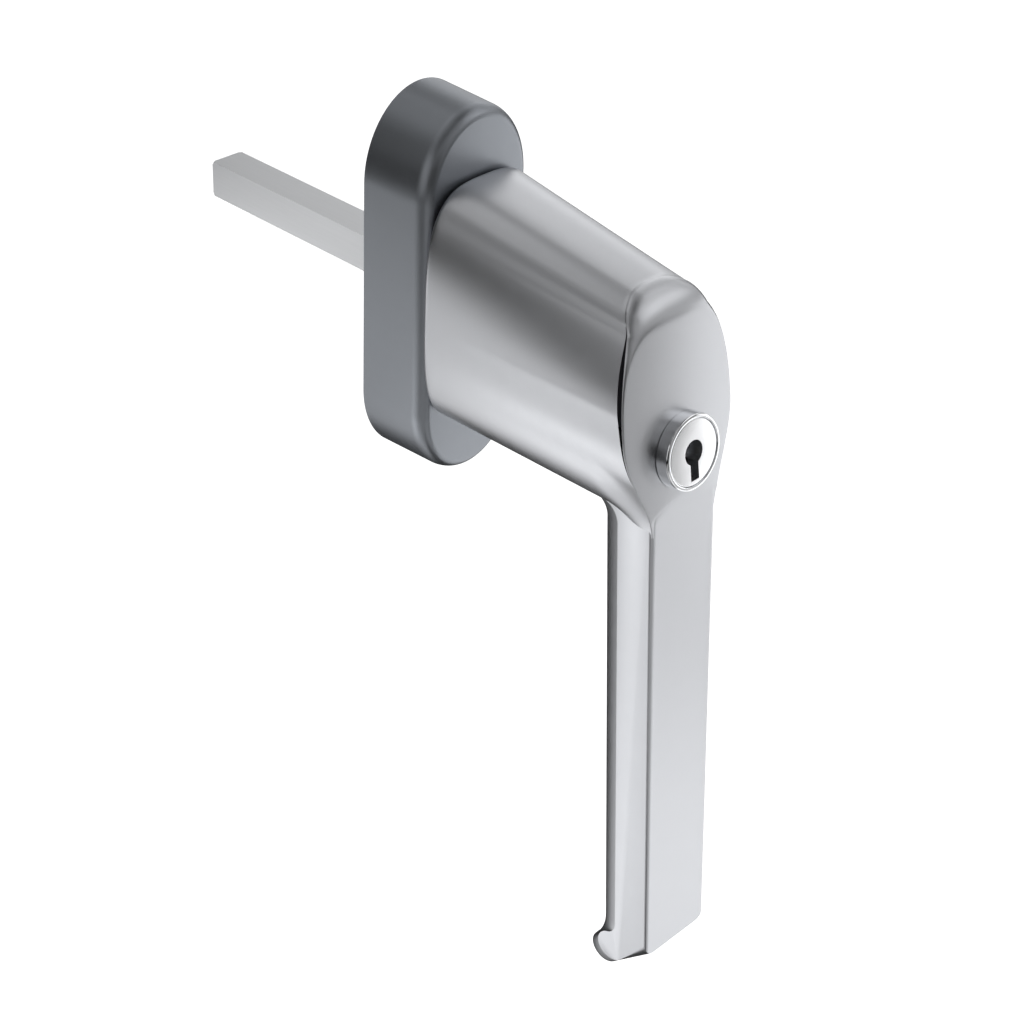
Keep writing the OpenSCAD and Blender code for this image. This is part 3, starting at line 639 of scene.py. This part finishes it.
def satin(name, color, rough, rough_var=0.02, bump=0.05):
    return material(name, color, metallic=0.95, rough=rough, rough_var=rough_var, bump=bump)


def plastic(name, color, rough, bump):
    return material(name, color, metallic=0.0, rough=rough, bump=bump, noise=900)


SATIN = satin("satin_aluminium", (0.60, 0.61, 0.635), 0.34)
# Painted shade: a darker, bluer copy of the same satin aluminium for the rosette, standing for the darker
# reflections on its sides
SATIN_SHADED_COPY = satin("painted_shade_satin_rosette", (0.305, 0.322, 0.350), 0.38)
# Painted shade: a near-black copy of the satin aluminium for the shadowed cut under the head's rim
PAINTED_CUT_SHADE = satin("painted_shade_satin_cut", (0.06, 0.062, 0.07), 0.50, rough_var=0.05, bump=0.08)
CHROME = material("lock_chrome", (0.86, 0.87, 0.89), 1.0, 0.10, rough_var=0.02, bump=0.01, tone_var=0.01)
CHROME_FACE = material("lock_chrome_face", (0.88, 0.885, 0.90), 1.0, 0.24, rough_var=0.03, bump=0.03)
KEYWAY = material("keyway_steel", (0.50, 0.51, 0.53), 1.0, 0.42, rough_var=0.05, bump=0.08)
ZINC = material("zinced_steel", (0.74, 0.75, 0.765), 1.0, 0.40, bump=0.06, fine=3000, stretch=(1, 0.05, 1))
STEEL = material("steel", (0.50, 0.51, 0.53), 1.0, 0.35, bump=0.05)
BRASS = material("brass", (0.72, 0.54, 0.25), 1.0, 0.30, bump=0.05)
DARK = plastic("dark_plastic", (0.045, 0.046, 0.05), 0.55, bump=0.15)
BLACK = plastic("black_plastic", (0.02, 0.02, 0.022), 0.5, bump=0.1)
WHITE = plastic("white_plastic", (0.75, 0.75, 0.71), 0.45, bump=0.1)
SLOTS = {"satin_aluminium": SATIN, "lock_chrome": CHROME, "zinced_steel": ZINC, "steel": STEEL,
         "brass": BRASS, "dark_plastic": DARK, "black_plastic": BLACK, "white_plastic": WHITE}


def finish_piece(obj, mat, body, slot, *nodes):
    obj.data.materials.clear()
    obj.data.materials.append(mat)
    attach(obj, body)
    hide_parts(*nodes)


# The handle: neck and head in one shell, and the grip and the collar, two shells that run into the neck

def bored_neck():
    lock_bore = cylinder(lock_at(0, 0, -2 * CUTTER_OVER), lock_at(0, 0, LOCK_LENGTH + LOCK_ROOM),
                         LOCK_BODY_D + 2 * SEATED)
    low, high = -NECK_BOTTOM - CUTTER_OVER, -NECK_BOTTOM + GRUB_BORE
    grub_hole = cylinder((0, -GRUB_DEPTH, low), (0, -GRUB_DEPTH, high), GRUB_D + 2 * SEATED, HOLE_SIDES)
    bolt_bore = cylinder((0, -NECK_ROOT + CUTTER_OVER, -BOLT_DROP), (0, -BOLT_BORE, -BOLT_DROP),
                         BOLT_D + 2 * RUNNING, HOLE_SIDES)
    return cut_out(make("neck", *neck_and_head()), [lock_bore, grub_hole, bolt_bore], SHARP_SKIN)


def bored_collar():
    collar = make("collar", *cylinder((0, -POCKET - RUNNING, 0), (0, -NECK_ROOT - CUTTER_OVER, 0), COLLAR_D))
    half = SPINDLE / 2 + RUNNING
    return cut_out(collar, [block((-half, -SPINDLE_END - CUTTER_OVER, -half), (half, 0, half))])


def paint_cut_shade(handle):
    """Painted shade: near-black metal on the walls of the cut under the head's rim, in a narrow band beside
    the outline, standing for the shadow in the gap.
    """
    slack, shows, band_mid, band_half = 0.02, 0.05, 1.1, 1.3
    handle.data.materials.append(PAINTED_CUT_SHADE)
    for face in handle.data.polygons:
        x, y, z = (c / MM for c in face.center)
        behind_rim = edge_at(z) + slack < y - front_y(x, z) < neck_lip(z) + slack
        if behind_rim and cut_at(z) > shows and abs(abs(x) - head_half(z) + band_mid) < band_half:
            face.material_index = 1


neck, collar = bored_neck(), bored_collar()
handle = gather("handle", neck, make("grip", *grip(), sharp=SHARP_SKIN), collar)
finish_piece(handle, SATIN, "handle", "satin_aluminium", "handle_body")
# Painted shade in the cut under the head's rim
paint_cut_shade(handle)


# The rosette's cover

def oval_ring(inset, depth):
    """Outline of the rosette at a depth, moved inward: straight sides and elliptical ends."""
    rx, rz = ROSETTE_W / 2 - inset, ROSETTE_END * ROSETTE_W / 2 - inset
    run = ROSETTE_H / 2 - ROSETTE_END * ROSETTE_W / 2
    ring = []
    for half, middle in ((0, run), (1, -run)):
        for i in range(OVAL_STEPS + 1):
            a = math.pi * (half + i / OVAL_STEPS)
            ring.append((rx * math.cos(a), -depth, middle + rz * math.sin(a)))
    return ring


def cover_form(wall):
    """The cover's outer form, or with a wall the space inside it, which passes the mounting face."""
    rings = [oval_ring(wall, -CUTTER_OVER if wall else 0)]
    for i in range(BAND_STEPS + 1):
        a = math.pi / 2 * i / BAND_STEPS
        inset = wall + ROSETTE_DRAFT + ROSETTE_BAND * (1 - math.cos(a))
        rings.append(oval_ring(inset, ROSETTE_SIDE + (ROSETTE_DEPTH - ROSETTE_SIDE) * math.sin(a) - wall))
    return skin(rings)


def cover_hole(z, d, sides):
    return cylinder((0, CUTTER_OVER, z), (0, -COVER_CUT, z), d, sides)


holes = [cover_hole(0, GLIDE_D + 2 * SEATED, ROUND_SIDES)]
holes += [cover_hole(side * BOLT_DROP, BOLT_HOLE, HOLE_SIDES) for side in (-1, 1)]
cover = cut_out(make("rosette", *cover_form(0)), [cover_form(COVER_WALL)] + holes, SHARP_SKIN)
# The rosette gets the painted-shade copy of the satin aluminium
finish_piece(cover, SATIN_SHADED_COPY, "base", "satin_aluminium", "rosette_cover")


# The lock: its ring and body, and the plug with the keyhole

def ring_and_body():
    """The lock's housing with the plug's stepped bore, and grooves for the wafers on four sides."""
    ring_r, body_r = LOCK_RING_D / 2, LOCK_BODY_D / 2
    face_r, core_r, step = PLUG_FACE_D / 2 + RUNNING, PLUG_CORE_D / 2 + RUNNING, PLUG_FACE_T + 2 * RUNNING
    profile = [
        (face_r, 0, MOUTH_ROUND), (ring_r, 0, RING_ROUND), (ring_r, LOCK_PROUD, 0), (body_r, LOCK_PROUD, 0),
        (body_r, LOCK_LENGTH, REAR_ROUND), (core_r, LOCK_LENGTH, EDGE_BREAK),
        (core_r, step, 0), (face_r, step, 0)]
    out, across = core_r + WAFER_ROOM, WAFER_W / 2 + 2 * RUNNING
    grooves = [lock_block(x, down, (WAFERS_START, WAFERS_END))
               for x, down in (((-across, across), (-out, out)), ((-out, out), (-across, across)))]
    return cut_out(make("lock_ring", *lathe(bevelled(profile))), grooves, SHARP_RING)


def key_slot():
    """The keyhole, a round hole with a slot below it, through the plug's face piece."""
    half = math.asin(KEYHOLE_SLOT / KEYHOLE_D)
    outline = []
    for i in range(KEYHOLE_STEPS + 1):
        a = half + (2 * math.pi - 2 * half) * i / KEYHOLE_STEPS
        outline.append((KEYHOLE_D / 2 * math.sin(a), KEYHOLE_D / 2 * math.cos(a)))
    outline += [(-KEYHOLE_SLOT / 2, KEYHOLE_REACH), (KEYHOLE_SLOT / 2, KEYHOLE_REACH)]
    return skin([[tuple(lock_at(x, down, s)) for x, down in outline] for s in (-CUTTER_OVER, PLUG_FACE_T)])


def keyed_plug():
    """The plug with its keyhole, the slot through its core and a slot for each wafer."""
    face_r, core_r, end = PLUG_FACE_D / 2, PLUG_CORE_D / 2, LOCK_LENGTH - RUNNING
    profile = [
        (AXIS_R, PLUG_SINK, 0), (face_r, PLUG_SINK, FACE_ROUND), (face_r, PLUG_FACE_T, EDGE_BREAK),
        (core_r, PLUG_FACE_T, 0), (core_r, end, EDGE_BREAK), (AXIS_R, end, 0)]
    half_slot, half_wafer = KEYHOLE_SLOT / 2, WAFER_W / 2 + RUNNING
    key_length = (PLUG_FACE_T - CUTTER_OVER, WAFERS_END)
    slots = [lock_block((-half_slot, half_slot), (-KEYWAY_UP, KEYWAY_DOWN), key_length)]
    for s in WAFER_S:
        wafer_length = (s - RUNNING, s + WAFER_T + RUNNING)
        slots.append(lock_block((-half_wafer, half_wafer), (-PLUG_CORE_D, WAFER_DOWN), wafer_length))
    return cut_out(make("plug", *lathe(bevelled(profile))), [key_slot()] + slots)


def darken_keyway(plug):
    """Plain steel on the keyhole's walls and on the plug's hidden core, from just behind the face."""
    behind_face, past_wafers, past_slot = 0.3, 0.1, 0.5
    plug.data.materials.append(KEYWAY)
    for face in plug.data.polygons:
        inward = Vector(face.center) / MM - LOCK_FACE
        depth = inward.dot(LOCK_IN)
        off_axis = (inward - depth * LOCK_IN).length
        if behind_face < depth < WAFERS_END + past_wafers and off_axis < KEYHOLE_REACH + past_slot:
            face.material_index = 1


finish_piece(ring_and_body(), CHROME, "handle", "lock_chrome", "lock_housing")
plug = keyed_plug()
finish_piece(plug, CHROME_FACE, "key_plug", "lock_chrome", "lock_plug")
darken_keyway(plug)

# The pieces whose CAD shape is right keep it and get their finish
REPLACED = {"handle_body", "rosette_cover", "lock_housing", "lock_plug"}
for part in frame["record"]["subparts"]:
    if part["node"] not in REPLACED:
        finish = frame["nodes"][part["node"]].data.materials
        finish.clear()
        finish.append(SLOTS[part["material_slot"]])

# Floor, a plain white sheet; it and the white surroundings are there for the camera and cast no light
FLOOR_Z, FLOOR_REACH = -0.6, 8.0
FLOOR_TONE, FLOOR_ROUGH, FLOOR_GLOW = 0.9, 0.9, 1.2
corners = [(x * FLOOR_REACH, y * FLOOR_REACH, FLOOR_Z) for x, y in ((-1, -1), (1, -1), (1, 1), (-1, 1))]
sheet = bpy.data.meshes.new("floor")
sheet.from_pydata(corners, [], [(0, 1, 2, 3)])
floor = place("floor", sheet)
white = bpy.data.materials.new("white_floor")
white.use_nodes = True
paper = white.node_tree.nodes["Principled BSDF"]
paper.inputs["Base Color"].default_value = (FLOOR_TONE, FLOOR_TONE, FLOOR_TONE, 1)
paper.inputs["Roughness"].default_value = FLOOR_ROUGH
paper.inputs["Emission Color"].default_value = (1, 1, 1, 1)
paper.inputs["Emission Strength"].default_value = FLOOR_GLOW
floor.data.materials.append(white)
floor.visible_glossy = floor.visible_diffuse = False

world = bpy.data.worlds.new("studio")
bpy.context.scene.world = world
world.use_nodes = True
world.node_tree.nodes["Background"].inputs["Color"].default_value = (1, 1, 1, 1)
world.node_tree.nodes["Background"].inputs["Strength"].default_value = 1.0
world.cycles_visibility.glossy = world.cycles_visibility.diffuse = False

# Light: soft boxes round the part, each with its place and radiance
BOX = 0.40  # Side of a large soft box
SMALL_BOX = 0.06  # Side of a box close to the part
PART_MIDDLE = (0, -0.03, -0.02)  # Where the large boxes look


def soft_box(name, place_at, radiance, size=BOX, height=None, target=PART_MIDDLE):
    height = height or size
    data = bpy.data.lights.new(name, "AREA")
    data.shape, data.size, data.size_y = "RECTANGLE", size, height
    data.energy = math.pi * size * height * radiance
    obj = place(name, data)
    obj.location = place_at
    obj.rotation_mode = "QUATERNION"
    obj.rotation_quaternion = (Vector(target) - Vector(place_at)).to_track_quat("-Z", "Y")
    obj.visible_camera = False


soft_box("right_front", (0.49, -0.26, -0.13), 1.22)
soft_box("right_low", (0.27, -0.23, -0.46), 1.00)
soft_box("right_back", (0.41, 0.31, 0.12), 0.76)
soft_box("right_top", (0.31, -0.23, 0.39), 0.75)
soft_box("right_back_top", (0.41, 0.12, 0.32), 0.60)
soft_box("right_back_high", (0.18, 0.21, 0.44), 0.31)
soft_box("right_side_low", (0.45, -0.07, -0.33), 0.37)
soft_box("right_front_low", (0.27, -0.45, -0.26), 0.48)
soft_box("front_low", (0.0, -0.44, -0.38), 0.70)
soft_box("left_front_low", (-0.37, -0.32, -0.31), 0.50)
soft_box("left_front_top", (-0.30, -0.36, 0.34), 0.28)
soft_box("front_top", (0.03, -0.33, 0.44), 0.30)
soft_box("right_side_top", (0.52, -0.08, 0.13), 0.50, size=0.30)
soft_box("front", (0.0, -0.55, 0.18), 0.35)
soft_box("back_top", (-0.10, 0.30, 0.43), 0.33)
soft_box("right_front_top", (0.33, -0.38, 0.24), 0.50)
soft_box("left_back_low", (-0.31, 0.29, -0.35), 0.70)
soft_box("left_back_under", (-0.17, 0.13, -0.52), 0.25)
soft_box("left_side", (-0.54, -0.01, 0.09), 0.54)
soft_box("left_back_top", (-0.42, 0.14, 0.29), 0.24)
soft_box("overhead", (-0.15, 0.10, 0.49), 0.29)
soft_box("beside_grip", (-0.09, -0.01, -0.15), 0.66, size=0.10, height=0.16, target=(-0.008, -0.068, -0.08))
soft_box("beside_barrel", (-0.10, 0.02, -0.075), 0.45, size=SMALL_BOX, target=(-0.013, -0.045, -0.005))
soft_box("beside_spindle", (-0.10, 0.14, -0.085), 0.80, size=SMALL_BOX, target=(-0.004, 0.04, 0.0))

# Camera at the photograph's angle
CAM_AT = Vector((-248.89, -253.11, 182.89)) * MM
CAM_DIR = Vector((0.6155, 0.5690, -0.5454)).normalized()
CAM_ROLL = math.radians(2.518)
CAM_LENS, CAM_SENSOR = 78.49, 36.0  # In millimetres
CAM_SHIFT_X, CAM_SHIFT_Y = 0.01017, -0.0154
CAM_NEAR, CAM_FAR = 0.01, 50
side = CAM_DIR.cross(Vector((0, 0, 1))).normalized()
upward = side.cross(CAM_DIR)
right = side * math.cos(CAM_ROLL) + upward * math.sin(CAM_ROLL)
up = upward * math.cos(CAM_ROLL) - side * math.sin(CAM_ROLL)
cam_data = bpy.data.cameras.new("camera")
cam_data.lens, cam_data.sensor_width = CAM_LENS, CAM_SENSOR
cam_data.shift_x, cam_data.shift_y = CAM_SHIFT_X, CAM_SHIFT_Y
cam_data.clip_start, cam_data.clip_end = CAM_NEAR, CAM_FAR
camera = place("camera", cam_data)
camera.matrix_world = Matrix(((right.x, up.x, -CAM_DIR.x, CAM_AT.x), (right.y, up.y, -CAM_DIR.y, CAM_AT.y),
                              (right.z, up.z, -CAM_DIR.z, CAM_AT.z), (0, 0, 0, 1)))
bpy.context.scene.camera = camera
# Tones as they are, without a film curve
bpy.context.scene.view_settings.view_transform = "Standard"
